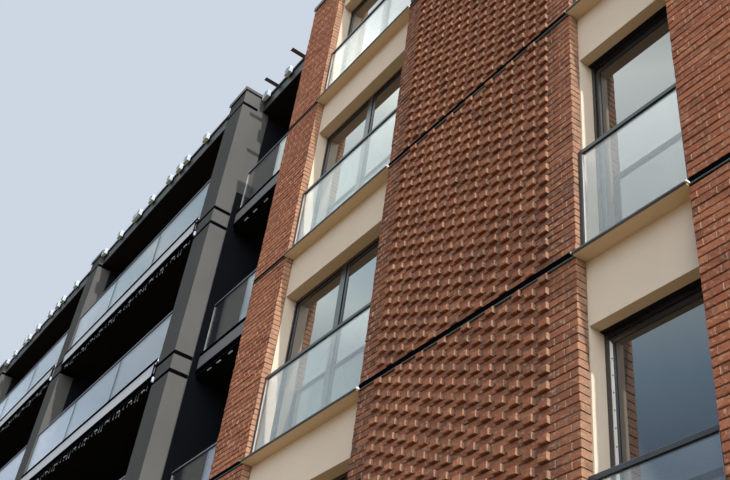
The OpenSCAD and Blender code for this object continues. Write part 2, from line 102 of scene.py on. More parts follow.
def make_active(piece):
    deselect_all()
    piece.select_set(True)
    bpy.context.view_layer.objects.active = piece


def added(name, operator, **settings):
    """The piece that one of Blender's operators for new meshes adds."""
    deselect_all()
    operator(**settings)
    piece = bpy.context.view_layer.objects.active
    piece.name = name
    return piece


def copy_of(piece, name):
    """A copy with its own mesh."""
    deselect_all()
    twin = piece.copy()
    twin.data = piece.data.copy()
    twin.name = name
    bpy.context.scene.collection.objects.link(twin)
    return twin


def apply_place(piece):
    make_active(piece)
    bpy.ops.object.transform_apply(location=True, rotation=True, scale=True)
    return piece


def joined(pieces, name):
    deselect_all()
    for piece in pieces:
        piece.select_set(True)
    bpy.context.view_layer.objects.active = pieces[0]
    if len(pieces) > 1:
        bpy.ops.object.join()
    pieces[0].name = name
    pieces[0].data.name = name
    return pieces[0]


def modified(piece, kind, **settings):
    """Adds a modifier and applies it."""
    make_active(piece)
    modifier = piece.modifiers.new(kind, kind)
    for setting, value in settings.items():
        setattr(modifier, setting, value)
    bpy.ops.object.modifier_apply(modifier=modifier.name)
    return piece


def repeated(piece, count, step):
    """A row of count copies, each moved on by step."""
    if count > 1:
        modified(piece, "ARRAY", count=count, use_relative_offset=False, use_constant_offset=True,
                 constant_offset_displace=step)
    return piece


def softened(piece, width):
    """Takes the edge off the sharp corners."""
    return modified(piece, "BEVEL", width=width, segments=1, limit_method="ANGLE",
                    angle_limit=math.radians(40.0))


def new_block(name, low, high):
    """A block between two corners, ready to be shaped."""
    block = added(name, bpy.ops.mesh.primitive_cube_add, size=1.0)
    block.location = (Vector(low) + Vector(high)) / 2
    block.scale = Vector(high) - Vector(low)
    return apply_place(block)


def eased_block(name, low, high, edge):
    return softened(new_block(name, low, high), edge)


def new_bar(name, radius, start, end, sides):
    """A round bar from one point to another, ready to be shaped."""
    start, end = Vector(start), Vector(end)
    bar = added(name, bpy.ops.mesh.primitive_cylinder_add, vertices=sides, radius=radius,
                depth=(end - start).length)
    bar.location = (start + end) / 2
    bar.rotation_mode = "QUATERNION"
    bar.rotation_quaternion = (end - start).to_track_quat("Z", "Y")
    return apply_place(bar)


def pick(piece, kind, test):
    """Opens a piece for editing, with only the faces or edges that pass the test selected."""
    make_active(piece)
    bpy.ops.object.mode_set(mode="EDIT")
    bpy.ops.mesh.select_mode(type=kind)
    bpy.ops.mesh.select_all(action="DESELECT")
    shape = bmesh.from_edit_mesh(piece.data)
    for part in (shape.faces if kind == "FACE" else shape.edges):
        if test(part):
            part.select_set(True)
    bmesh.update_edit_mesh(piece.data)


def every(part):
    return True


def facing(*way, where=every):
    """A test for faces that look one way and have their middle where another test passes."""
    way = Vector(way)
    return lambda face: face.normal.dot(way) > 0.9 and where(face.calc_center_median())


def both_ends(test):
    """A test for edges whose two ends pass it."""
    return lambda edge: all(test(point.co) for point in edge.verts)


def pull(*way):
    """Extrudes what is selected."""
    bpy.ops.mesh.extrude_region_move(TRANSFORM_OT_translate={"value": way})


def move(*way):
    bpy.ops.transform.translate(value=way)


def resize(*factors):
    bpy.ops.transform.resize(value=factors)


def inset_front(piece, border, depth):
    """Insets the front face, and moves its middle back by depth."""
    pick(piece, "FACE", facing(0, -1, 0))
    bpy.ops.mesh.inset(thickness=border)
    move(0.0, depth, 0.0)


def panelled_block(name, low, high, border, depth, edge):
    """A block with eased edges and a set back or raised middle on its front."""
    block = new_block(name, low, high)
    inset_front(block, border, depth)
    return softened(block, edge)


def face_outward(piece):
    """Turns all faces of a spun piece outwards."""
    pick(piece, "FACE", every)
    bpy.ops.mesh.normals_make_consistent(inside=False)


def copies_at(places, pattern):
    """Copies of a pattern at several places, as one piece. The pattern itself is taken away."""
    parts = [copy_of(pattern, f"{pattern.name}_copy") for _ in places]
    for part, place in zip(parts, places):
        part.location = place
    bpy.data.objects.remove(pattern)
    return apply_place(joined(parts, parts[0].name))


def solids_of(node_name):
    """(lowest corner, highest corner) of each separate solid of a node, from the lowest up."""
    shape = bmesh.new()
    shape.from_mesh(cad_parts[node_name].data)
    bmesh.ops.remove_doubles(shape, verts=shape.verts, dist=0.00005)
    waiting = set(shape.verts)
    boxes = []
    while waiting:
        solid = [waiting.pop()]
        for point in solid:
            reached = waiting.intersection(edge.other_vert(point) for edge in point.link_edges)
            waiting -= reached
            solid += reached
        places = list(zip(*(point.co for point in solid)))
        boxes.append((Vector(map(min, places)), Vector(map(max, places))))
    shape.free()
    return sorted(boxes, key=lambda box: (round(box[0].z, 3), round(box[0].x, 3)))


def install(name, parts, finish):
    """Joins parts into a piece, gives it its material and lets it ride on the building."""
    piece = joined(parts, name)
    deselect_all()
    piece.data.materials.clear()
    piece.data.materials.append(finishes[finish])
    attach(piece, "root")


# Materials


class Socket:
    """An output of a node that can stand in a sum."""

    def __init__(self, shading, output):
        self.shading = shading
        self.output = output

    def maths(self, operation, other):
        return self.shading.node("Math", {0: self, 1: other}, operation=operation)

    def __add__(self, other):
        return self.maths("ADD", other)

    def __sub__(self, other):
        return self.maths("SUBTRACT", other)

    def __mul__(self, other):
        return self.maths("MULTIPLY", other)

    def __pow__(self, other):
        return self.maths("POWER", other)

    __radd__ = __add__
    __rmul__ = __mul__


class Shading:
    """A tree of shader nodes."""

    def __init__(self, tree):
        self.tree = tree
        self.tree.nodes.clear()

    def node(self, kind, inputs, output=0, **settings):
        """Adds a node, sets it up, and gives its sockets their values or links."""
        made = self.tree.nodes.new(f"ShaderNode{kind}")
        for setting, value in settings.items():
            setattr(made, setting, value)
        for socket, value in inputs.items():
            self.feed(made.inputs[socket], value)
        return Socket(self, made.outputs[output])

    def feed(self, entry, value):
        if isinstance(value, Socket):
            self.tree.links.new(value.output, entry)
        else:
            entry.default_value = value

    def noise(self, scale, detail=3.0, roughness=0.55, stretch=None):
        """Noise in grains of about 1 / scale metres, stretched along the axes where asked."""
        place = self.place
        if stretch:
            place = self.node("Mapping", {"Vector": place, "Scale": stretch})
        return self.node("TexNoise", {"Vector": place, "Scale": scale, "Detail": detail,
                                      "Roughness": roughness})

    def ramp(self, factor, stops):
        """Colours between stops of (position, red, green, blue)."""
        colours = self.node("ValToRGB", {"Fac": factor})
        elements = colours.output.node.color_ramp.elements
        while len(elements) < len(stops):
            elements.new(1.0)
        for element, (position, *colour) in zip(elements, stops):
            element.position = position
            element.color = rgba(colour)
        return colours

    def grey_ramp(self, factor, low, high, at_low=0.0, at_high=1.0):
        """Numbers from at_low to at_high as the factor goes from low to high."""
        return self.node("MapRange", {"Value": factor, "From Min": low, "From Max": high,
                                      "To Min": at_low, "To Max": at_high}, clamp=True)

    def blend(self, factor, first, second, kind="MIX"):
        return self.node("Mix", {0: factor, 6: rgba(first), 7: rgba(second)}, 2,
                         data_type="RGBA", blend_type=kind)

    def patch(self, body, colour, *mask):
        """Lays a colour over the body as far as a grey ramp tells."""
        return self.blend(self.grey_ramp(*mask), body, colour)

    def along(self, axis):
        """The place along one axis, in metres."""
        return self.node("SeparateXYZ", {"Vector": self.place}, axis)

    def outward(self, axis):
        """How far the surface faces along one axis, from -1 to 1."""
        normal = self.node("TexCoord", {}, "Normal")
        return self.node("SeparateXYZ", {"Vector": normal}, axis)


class Finish(Shading):
    """A material with one Principled shader."""

    def __init__(self, name, specular, metallic=0.0):
        self.material = bpy.data.materials.new(name)
        self.material.use_nodes = True
        super().__init__(self.material.node_tree)
        self.surface = self.node("BsdfPrincipled", {"Specular IOR Level": specular, "Metallic": metallic})
        self.entries = self.surface.output.node.inputs
        self.out = self.tree.nodes.new("ShaderNodeOutputMaterial")
        self.feed(self.out.inputs["Surface"], self.surface)
        self.place = self.node("TexCoord", {}, "Object")

    def coat(self, body, roughness):
        self.feed(self.entries["Base Color"], body)
        self.feed(self.entries["Roughness"], roughness)

    def done(self, body, roughness, height, distance, strength=1.0):
        """Sets the colour, the grey ramp of the roughness, and the relief of height by distance."""
        self.coat(body, self.grey_ramp(*roughness))
        normal = self.node("Bump", {"Height": height, "Distance": distance, "Strength": strength})
        self.feed(self.entries["Normal"], normal)
        return self.material


def rgba(colour):
    if isinstance(colour, Socket) or len(colour) == 4:
        return colour
    return (*colour, 1.0)


# Colours of the bricks from the most to the least fired
FIRED = (
    (0.00, 0.080, 0.034, 0.022), (0.18, 0.150, 0.060, 0.034), (0.45, 0.258, 0.104, 0.050),
    (0.66, 0.335, 0.150, 0.076), (0.85, 0.410, 0.215, 0.118), (1.00, 0.480, 0.300, 0.190),
)


def brick_finish(name, batch, ends):
    """Hand-pressed facing bricks: each fired differently, with sand and creases.

    Batch is the tint of the whole delivery, and ends tells how much paler the faces towards +X are
    at the front, where the sun falls on them: partly painted sunlight, partly the bricks' paler ends.
    """
    finish = Finish(name, 0.2)
    firing = finish.node("Attribute", {}, "Fac", attribute_name="firing")
    body = finish.blend(1.0, finish.ramp(firing, FIRED), batch, "MULTIPLY")
    front = finish.grey_ramp(finish.along("Y"), BRICK_LEAF_Y - 0.05, BRICK_LEAF_Y, 1.0, 0.0)
    # Faces towards +X at the front are painted paler: painted sunlight, partly the bricks' paler ends
    paler = front * finish.grey_ramp(finish.outward("X"), 0.4, 0.8, 0.0, ends)
    body = finish.blend(paler, body, (0.49, 0.36, 0.245))
    creases = finish.noise(46.0, 3.0, stretch=(0.55, 0.55, 1.0))
    sand = finish.noise(24.0, 5.0, 0.65)
    body = finish.patch(body, (0.50, 0.37, 0.26), sand, 0.55, 0.68, 0.0, 0.60)
    scorch = finish.noise(7.0, 4.0)
    body = finish.patch(body, (0.060, 0.026, 0.021), scorch, 0.56, 0.68, 0.0, 0.45)
    grit = finish.noise(420.0, 2.0)
    body = finish.patch(body, (0.56, 0.41, 0.31), grit, 0.50, 0.66, 0.0, 0.42)
    pits = finish.noise(150.0, 4.0)
    body = finish.patch(body, (0.06, 0.027, 0.022), pits, 0.30, 0.42, 0.5, 0.0)
    return finish.done(body, (grit, 0.2, 0.8, 0.82, 0.95), creases + 0.45 * pits + 0.15 * grit, 0.008)


def mortar_finish(name, paleness, stain=(1.0, 1.0, 1.0)):
    """Sandy mortar between the bricks. Stain is what brick dust makes of its red, green and blue."""
    finish = Finish(name, 0.1)
    sand = finish.noise(600.0, 2.0)
    low, high = [tuple(paleness * c * s for c, s in zip(colour, stain))
                 for colour in ((0.185, 0.130, 0.095), (0.300, 0.228, 0.172))]
    body = finish.blend(finish.noise(2.6), low, high)
    body = finish.patch(body, high, sand, 0.55, 0.75, 0.0, 0.4)
    return finish.done(body, (sand, 0.3, 0.7, 0.88, 0.98), sand, 0.002)


# Corner of the wall beside the narrow bay that has the pilasters' grey where the sun lights it,
# near-black in painted shade below: its X, Y and lower Z
LIT_RETURN_CORNER = (2.150, -5.400, 13.60)


def render_finish(name, light, dark, sand_mix, front_shade=0.0, lit_returns=None):
    """Smooth render with fine sand, large soft stains, trowel marks and faint runs of rain.

    Front shade darkens the faces towards the front: painted shade, as the sun falls on their sides.
    Lit returns are the two colours of the front end of the wall beside the narrow bay, in the top
    storey, laid where the sun lights it: partly painted sunlight, partly the wall's own grey.
    """
    finish = Finish(name, 0.08)
    sand = finish.noise(520.0, 2.0)
    stains = finish.noise(0.9, 4.0)
    trowel = finish.noise(4.5, 4.0, 0.6, stretch=(0.5, 0.5, 1.0))
    runs = finish.noise(5.0, 3.0, stretch=(1.0, 1.0, 0.12))
    body = finish.patch(light, dark, stains, 0.3, 0.75)
    body = finish.patch(body, dark, runs, 0.52, 0.80, 0.0, 0.35)
    # The lit top of the wall's front end gets the pilasters' grey, below it stays near-black: painted
    # sunlight and shade, partly the wall's own grey
    if lit_returns:
        x, y, z = LIT_RETURN_CORNER
        side = finish.grey_ramp(finish.along("X"), x, x + 0.005)
        front = finish.grey_ramp(finish.along("Y"), y - 0.002, y + 0.002, 1.0, 0.0)
        above = finish.grey_ramp(finish.along("Z"), z, z + 0.01)
        body = finish.blend(side * front * above, body, finish.blend(stains, *lit_returns))
    # Faces towards the front are darkened: painted shade, as the sun lights the sides
    if front_shade:
        body = finish.patch(body, (0.012, 0.013, 0.015), finish.outward("Y"), -0.8, -0.4, front_shade, 0.0)
    body = finish.patch(body, (0.85, 0.84, 0.80), sand, 0.5, 0.8, 0.0, sand_mix)
    return finish.done(body, (sand, 0.3, 0.7, 0.82, 0.94), sand + 2.0 * trowel, 0.0015)


def painted_finish(name, body_colour, worn_colour, roughness, metallic=0.0, specular=0.5, inner=None,
                   under=None):
    """Powder coat on metal, with a fine orange-peel grain, dust and faint runs.

    Inner is the darker colour that it has in the narrow bay, behind the line of the wide ones: painted
    shade, since the brick block keeps the sun off it there.
    Under is its lighter, bluer colour on the faces that look down: painted light, which offsets the warm
    dim light from the floor.
    """
    finish = Finish(name, specular, metallic)
    peel = finish.noise(380.0, 2.0)
    dust = finish.noise(2.5, 5.0, stretch=(1.0, 1.0, 0.5))
    runs = finish.noise(30.0, 3.0, stretch=(1.0, 1.0, 0.05))
    body = finish.patch(body_colour, worn_colour, dust, 0.42, 0.85)
    body = finish.patch(body, worn_colour, runs, 0.56, 0.80, 0.0, 0.4)
    # Darker in the narrow bay: painted shade from the brick block
    if inner:
        body = finish.patch(body, inner, finish.along("Y"), SET_BACK_Y, SET_BACK_Y + 0.1)
    # Faces that look down are painted lighter and bluer: painted light
    if under:
        body = finish.patch(body, under, finish.outward("Z"), -0.7, -0.3, 1.0, 0.0)
    return finish.done(body, (dust, 0.3, 0.8, roughness, roughness + 0.15), peel, 0.0004, 0.5)


def steel_finish(name):
    """Dark primed angle with a faint spangle and dull patches."""
    finish = Finish(name, 0.3)
    spangle = finish.node("TexVoronoi", {"Vector": finish.place, "Scale": 70.0}, "Color")
    dull = finish.noise(3.0, 4.0)
    body = finish.patch((0.020, 0.021, 0.020), (0.040, 0.041, 0.039), spangle, 0.0, 1.0)
    body = finish.patch(body, (0.026, 0.022, 0.018), dull, 0.45, 0.75, 0.0, 0.7)
    return finish.done(body, (dull, 0.3, 0.7, 0.55, 0.75), dull, 0.0006)


def concrete_finish(name):
    finish = Finish(name, 0.3)
    stains = finish.noise(1.6, 5.0)
    pores = finish.noise(180.0, 3.0)
    body = finish.blend(stains, (0.36, 0.355, 0.34), (0.48, 0.47, 0.45))
    body = finish.patch(body, (0.14, 0.135, 0.13), pores, 0.25, 0.38, 0.6, 0.0)
    return finish.done(body, (stains, 0.3, 0.7, 0.75, 0.9), pores, 0.002)


def roofing_finish(name, low, high):
    """Grey roof felt with a mineral face and damp patches. The decks' underside, the top loggias'
    ceiling, is near-black: partly dark paint, partly painted shade.
    """
    finish = Finish(name, 0.2)
    grit = finish.noise(700.0, 2.0)
    body = finish.blend(finish.noise(0.7, 5.0), low, high)
    body = finish.patch(body, (0.055, 0.058, 0.060), finish.noise(0.35, 3.0), 0.52, 0.62, 0.0, 0.45)
    body = finish.patch(body, (0.34, 0.34, 0.34), grit, 0.5, 0.75, 0.0, 0.5)
    # Near-black underside: painted shade of the top loggias, partly dark paint
    body = finish.patch(body, (0.010, 0.011, 0.013), finish.along("Z"), DECK_Z - 0.05, DECK_Z, 1.0, 0.0)
    return finish.done(body, (grit, 0.3, 0.7, 0.85, 0.97), grit, 0.002)


def rubber_finish(name, colour, specular=0.3):
    finish = Finish(name, specular)
    wear = finish.noise(60.0, 3.0)
    body = finish.blend(wear, colour, tuple(1.35 * c for c in colour))
    return finish.done(body, (wear, 0.3, 0.7, 0.55, 0.75), wear, 0.0005)


def mirror_glass_finish(name, tint, behind, least, gain):
    """Window glass with a dim room behind it, which mirrors more the flatter it is seen."""
    finish = Finish(name, 0.0)
    dust = finish.noise(1.3, 4.0, stretch=(1.0, 1.0, 0.4))
    finish.coat(finish.patch(behind, tint, dust, 0.35, 0.75), 0.6)
    fresnel = finish.node("Fresnel", {"IOR": 1.5})
    shine = finish.grey_ramp(least + gain * fresnel, 0.0, 1.0)
    return layered_glass(finish, shine, finish.surface)


def clear_glass_finish(name, tint, film, least, dusty):
    """A clear pane, which mirrors at both faces and wears a thin film of dust."""
    finish = Finish(name, 0.0)
    dust = finish.noise(1.1, 5.0, stretch=(1.0, 1.0, 0.35))
    finish.coat(finish.blend(dust, film, tuple(0.8 * c for c in film)), 0.7)
    flatness = finish.node("LayerWeight", {"Blend": 0.5}, "Facing")
    shine = finish.grey_ramp(least + (1.0 - least) * flatness ** 5.0, 0.0, 1.0)
    through = finish.node("BsdfTransparent", {"Color": rgba(tint)})
    veil = finish.grey_ramp(dust, 0.35, 0.85, 0.4 * dusty, dusty)
    under = finish.node("MixShader", {0: veil, 1: through, 2: finish.surface})
    return layered_glass(finish, shine, under)


def layered_glass(finish, shine, under):
    """Lays a mirror of the given strength over a shader."""
    glossy = finish.node("BsdfGlossy", {"Roughness": 0.012, "Color": (1.0, 1.0, 1.0, 1.0)})
    whole = finish.node("MixShader", {0: shine, 1: under, 2: glossy})
    finish.feed(finish.out.inputs["Surface"], whole)
    return finish.material


GREYS = ((0.100, 0.101, 0.098), (0.083, 0.085, 0.083))

# The finishes: for each kind, what its function is given after the name
KINDS = (
    (brick_finish, {
        "relief_brick": ((0.78, 0.57, 0.50), 0.34),
        "pier_brick": ((0.88, 0.58, 0.46), 0.40),
    }),
    (mortar_finish, {
        "sand_mortar": (0.34,),
        "relief_mortar": (0.62,),
        "pale_pointing": (1.25,),
        "brown_pointing": (0.80,),
        "red_pointing": (1.10, (1.12, 0.78, 0.70)),
    }),
    (render_finish, {
        "cream_render": ((0.680, 0.585, 0.470), (0.615, 0.522, 0.410), 0.10),
        "grey_render": (*GREYS, 0.03, 0.36),
        # Near-black walls, floors and ceilings of the loggias: partly dark paint, partly painted shade of
        # the deep loggias
        "dark_render": ((0.008, 0.0095, 0.014), (0.006, 0.007, 0.010), 0.005, 0.0, GREYS),
    }),
    (concrete_finish, {"cast_concrete": ()}),
    (steel_finish, {"dark_steel": ()}),
    (roofing_finish, {
        "roof_felt": ((0.10, 0.105, 0.11), (0.20, 0.20, 0.205)),
        "felt_laps": ((0.08, 0.083, 0.088), (0.16, 0.16, 0.165)),
    }),
    (painted_finish, {
        "anthracite_paint": ((0.010, 0.011, 0.013), (0.020, 0.021, 0.024), 0.22, 0.0, 0.9),
        "guard_paint": ((0.020, 0.024, 0.029), (0.040, 0.045, 0.052), 0.30),
        "sill_sheet": ((0.060, 0.060, 0.062), (0.11, 0.11, 0.11), 0.34, 0.2),
        "strip_sheet": ((0.45, 0.475, 0.51), (0.50, 0.52, 0.55), 0.55, 0.0, 0.15, (0.16, 0.165, 0.17)),
        "dark_strip": ((0.026, 0.026, 0.031), (0.045, 0.045, 0.051), 0.50, 0.1),
        "black_sheet": ((0.010, 0.010, 0.012), (0.026, 0.026, 0.028), 0.40),
        "white_plastic": ((0.74, 0.73, 0.70), (0.54, 0.52, 0.48), 0.45),
        "clamp_metal": ((0.42, 0.49, 0.62), (0.30, 0.35, 0.44), 0.55, 0.0, 0.15),
        "clamp_sheet": ((0.44, 0.50, 0.58), (0.32, 0.36, 0.42), 0.55, 0.0, 0.15, None,
                        (0.60, 0.86, 1.0)),
        "drop_metal": ((0.060, 0.080, 0.090), (0.035, 0.045, 0.05), 0.50),
        "lip_metal": ((0.13, 0.17, 0.17), (0.08, 0.09, 0.09), 0.45),
        "lamp_plastic": ((0.44, 0.50, 0.58), (0.26, 0.30, 0.35), 0.50),
    }),
    (rubber_finish, {
        "black_rubber": ((0.006, 0.006, 0.007),),
        "matte_black": ((0.002, 0.002, 0.003), 0.0),
        "pale_rubber": ((0.50, 0.49, 0.47),),
    }),
    (mirror_glass_finish, {
        "window_glass": ((0.020, 0.024, 0.026), (0.008, 0.009, 0.010), 0.07, 1.9),
        "door_glass": ((0.008, 0.009, 0.011), (0.004, 0.005, 0.006), 0.05, 1.0),
    }),
    (clear_glass_finish, {
        "guard_glass": ((0.960, 0.968, 0.970), (0.62, 0.64, 0.62), 0.075, 0.14),
        "loggia_glass": ((0.92, 0.94, 0.95), (0.46, 0.49, 0.52), 0.105, 0.07),
    }),
)

# The finish of every node of the frame
NODES_IN = {
    "sand_mortar": "left_pier right_pier block_party_wall block_end_wall block_rear_piers",
    "relief_mortar": "relief_panel",
    "cream_render": "front_panels jamb_linings block_rear_panels",
    "grey_render": "pilasters wing_end_wall wing_rear_piers wing_rear_panels",
    # The loggias' near-black surfaces: partly dark paint, partly painted shade
    "dark_render": "cross_walls loggia_floors loggia_wall_piers loggia_wall_heads",
    "cast_concrete": "block_floors wing_floors",
    "dark_steel": "band_angles",
    "roof_felt": "block_roof_deck wing_roof_decks",
    "anthracite_paint": "window_rails window_stiles door_rails door_stiles rear_rails rear_stiles",
    "guard_paint": "guard_posts guard_rails",
    "sill_sheet": "front_sills rear_sills",
    "strip_sheet": "loggia_edge_strips",
    "dark_strip": "wing_roof_strips",
    "black_sheet": "block_coping pilaster_caps loggia_channels loggia_top_rails wing_copings",
    "white_plastic": "sill_ends",
    "window_glass": "window_panes rear_panes",
    "door_glass": "door_panes",
    "guard_glass": "guard_panes_glass",
    "loggia_glass": "loggia_glass",
}


def finish_cad_nodes():
    for finish, names in NODES_IN.items():
        for name in names.split():
            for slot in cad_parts[name].material_slots:
                slot.material = finishes[finish]


# Brickwork


def bond_courses(half_width, kind, corners):
    """Bricks of one course as (start, end, column or None), from one end of the wall to the other.

    Kind 0 has a stretcher in the middle and kind 1 a header, which has its column's number.
    """
    bricks = []
    low = -half_width - (FACE_OUT if corners else 0.0)
    high = -low
    reach = math.ceil(half_width / HALF_BOND) + 1
    for column in range(-reach, reach + 1):
        is_header = (column + kind) % 2 == 1
        half = (HEADER if is_header else STRETCHER) / 2
        start = max(low, column * HALF_BOND - half)
        end = min(high, column * HALF_BOND + half)
        if end - start >= SHORTEST_BRICK:
            bricks.append([start, end, column if is_header else None])
    for side, edge, limit in ((0, 0, low), (-1, 1, high)):
        if abs(bricks[side][edge] - limit) < SHORTEST_BRICK + JOINT:
            bricks[side][edge] = limit
    return bricks


def new_course(name):
    """An empty piece, open for editing."""
    course = bpy.data.objects.new(name, bpy.data.meshes.new(name))
    bpy.context.scene.collection.objects.link(course)
    make_active(course)
    bpy.ops.object.mode_set(mode="EDIT")
    return course


def course_of_bricks(name, width, kind, corners, raised_columns, eased):
    """One course, along X, with its outer faces towards -Y and its middle at the origin."""
    course = new_course(name)
    for start, end, column in bond_courses(width / 2, kind, corners):
        out = RAISED_OUT if column is not None and abs(column) <= raised_columns else FACE_OUT
        at_corner = corners and (start < -width / 2 or end > width / 2)
        back = HEADER if at_corner else BEDDED
        bpy.ops.mesh.primitive_cube_add(
            size=1.0, location=((start + end) / 2, (back - out) / 2, JOINT / 2 + BRICK_H / 2),
            scale=(end - start, back + out, BRICK_H))
    if eased:
        pick(course, "EDGE", both_ends(lambda at: at.y < 0))
        bpy.ops.mesh.bevel(offset=BRICK_EDGE, segments=1)
    return course


def course_of_fillets(name, width, kind):
    """The mortar in the upright joints of one course, struck back at its top edge."""
    course = new_course(name)
    bricks = bond_courses(width / 2, kind, True)
    for (_, start, _), (end, _, _) in zip(bricks, bricks[1:]):
        bpy.ops.mesh.primitive_cube_add(
            size=1.0, location=((start + end) / 2, (BEDDED - FILLET_OUT) / 2, COURSE / 2),
            scale=(end - start + 2 * FILLET_LAP, BEDDED + FILLET_OUT, BRICK_H + FILLET_LAP))
    pick(course, "EDGE", both_ends(lambda at: at.y < 0.0 and at.z > COURSE / 2))
    move(0.0, FILLET_STRUCK, 0.0)
    return course


def storey_courses():
    """(first course, courses, laid before it) for each run of brickwork between two bands."""
    runs = []
    first = laid = 0
    for count in (PLINTH_COURSES, *[STOREY_COURSES] * (STOREYS - 1), TOP_COURSES):
        runs.append((first, count, laid))
        first += count + 1
        laid += count
    return runs


def stacked(name, new_course_of):
    """The courses of both kinds by turns, from the ground to the top."""
    parts = []
    for kind in (0, 1):
        course = new_course_of(kind)
        for first, count, laid in storey_courses():
            skipped = (kind - laid) % 2
            part = copy_of(course, f"{name}_rows")
            repeated(part, (count - skipped + 1) // 2, (0.0, 0.0, 2 * COURSE))
            part.location.z = (first + skipped) * COURSE
            parts.append(apply_place(part))
        bpy.data.objects.remove(course)
    return joined(parts, name)


def points_of(mesh, corner_count):
    """The points of a mesh, in groups of corner_count."""
    points = np.zeros(len(mesh.vertices) * 3)
    mesh.vertices.foreach_get("co", points)
    return points.reshape(-1, corner_count, 3)


def brick_wall(name, width, place, finish="pier_brick", turn=0.0, corners=True, raised_columns=-1,
               eased=True, fired=0.60):
    """A wall of bricks in the bond, with its middle at place and turned about the vertical."""
    wall = stacked(name, lambda kind: course_of_bricks(f"{name}_course", width, kind, corners,
                                                       raised_columns, eased))
    fire_bricks(wall, 12 if eased else 8, fired)
    wall.matrix_world = Matrix.Translation(place) @ Matrix.Rotation(turn, 4, "Z")
    install(name, [apply_place(wall)], finish)


def fire_bricks(wall, corner_count, fired):
    """Gives each brick its own firing, and sets it a little out of line with rough corners."""
    mesh = wall.data
    bricks = points_of(mesh, corner_count)
    draw = np.random.default_rng(SEED + len(bricks))
    bricks += draw.uniform(-OUT_OF_LINE, OUT_OF_LINE, (len(bricks), 1, 3))
    bricks += draw.uniform(-ROUGH_CORNER, ROUGH_CORNER, bricks.shape)
    outer = bricks[:, :, 1] < -FACE_OUT / 2
    bricks[:, :, 1] -= outer * draw.uniform(*SET_OUT, (len(bricks), 1))
    mesh.vertices.foreach_set("co", bricks.ravel())

    # Bricks are alike within a batch, and the raised ones and those beyond them are paler
    batches = np.array([noise.noise(Vector(brick[0]) * 0.9) for brick in bricks])
    paler = bricks[:, :, 1].min(axis=1) < -0.02
    if paler.any():
        along = bricks[:, :, 0].mean(axis=1)
        paler |= np.abs(along) > np.abs(along[paler]).max() + 0.02
    firing = draw.normal(fired, FIRED_BY_CHANCE, len(bricks)) + FIRED_BY_BATCH * batches
    firing = np.clip(firing + FIRED_PALER * paler, 0.0, 1.0)
    attribute = mesh.attributes.new("firing", "FLOAT", "POINT")
    attribute.data.foreach_set("value", np.repeat(firing, corner_count).astype(np.float32))
    mesh.update()


def point_joints(name, width, place, mortar, least):
    """Fills the upright joints of a front wall, some nearly flush and some raked out to least."""
    fillets = stacked(name, lambda kind: course_of_fillets(f"{name}_course", width, kind))
    points = points_of(fillets.data, 8)
    draw = np.random.default_rng(SEED)
    points[:, :, 1] *= draw.uniform(least, 1.0, (len(points), 1))
    fillets.data.vertices.foreach_set("co", points.ravel())
    fillets.location = place
    install(name, [apply_place(fillets)], mortar)


def lay_brickwork():
    left, relief, right = (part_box(n) for n in ("left_pier", "relief_panel", "right_pier"))
    front_y = relief[0].y
    rear_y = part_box("block_rear_piers")[1].y

    def across(box, y):
        """The width of a pier, and the middle of its face."""
        return box[1].x - box[0].x, Vector(((box[0].x + box[1].x) / 2, y, 0.0))

    def deep(x, low_y, high_y):
        """The width of a wall along Y, and its middle."""
        return high_y - low_y, Vector((x, (low_y + high_y) / 2, 0.0))

    relief_wall = {"finish": "relief_brick", "raised_columns": RAISED_COLUMNS, "fired": 0.27}
    for place, box, settings in (("relief", relief, relief_wall), ("left_pier", left, {}),
                                 ("right_pier", right, {})):
        brick_wall(f"{place}_bricks", *across(box, front_y), **settings)
    for place, box, mortar, least in (("left_pier", left, "pale_pointing", RAKED),
                                      ("right_pier", right, "red_pointing", FLUSH),
                                      ("relief", relief, "brown_pointing", RAKED)):
        point_joints(f"{place}_joints", *across(box, front_y), mortar, least)
    for place, box in (("left", left), ("middle", relief), ("right", right)):
        brick_wall(f"{place}_rear_bricks", *across(box, rear_y), turn=math.pi, eased=False)

    # Each side wall starts behind the corner bricks of the front
    corner = HEADER + JOINT
    start = front_y + corner
    recess_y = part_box("loggia_wall_piers")[0].y
    brick_wall("end_wall_bricks", *deep(right[1].x, start, rear_y - corner), turn=math.pi / 2,
               corners=False, eased=False)
    brick_wall("flank_bricks", *deep(left[0].x, start, recess_y), turn=-math.pi / 2, corners=False)


# Y of the front of the black block in the slot, Y of the lip's nose, and height of the lip's foot in the
# slot
RELIEF_SLOT = (-6.022, -6.030, -0.005)
PIER_SLOT = (-6.014, -6.018, 0.010)
SLOT_SHADE_BACK = -5.965
LIP_BACK = -6.010
LIP_H = 0.010


def line_slots():
    """A matte black block in the slot under each storey, which stands in for the slot's deep shadow as
    painted shade, with a thin metal lip along it.
    """
    shade_blocks = []
    lips = []
    for low, high in solids_of("band_angles"):
        front, nose, foot = RELIEF_SLOT if high.x - low.x > WIDE_BAND else PIER_SLOT
        foot += low.z
        # The black block is painted shade of the slot
        shade_blocks.append(panelled_block("slot_shade_block", (low.x, front, low.z - 0.002),
                                      (high.x, SLOT_SHADE_BACK, low.z + COURSE - 0.001), 0.008, 0.006, 0.001))
        lip = new_block("angle_lip", (low.x, nose, foot), (high.x, LIP_BACK, foot + LIP_H))
        pick(lip, "EDGE", both_ends(lambda at: at.y < nose + 0.001 and at.z > foot + 0.7 * LIP_H))
        move(0.0, 0.0, -0.4 * LIP_H)
        lips.append(softened(lip, 0.001))
    install("slot_shade_blocks", shade_blocks, "matte_black")
    install("angle_lips", lips, "lip_metal")


# Windows and guards

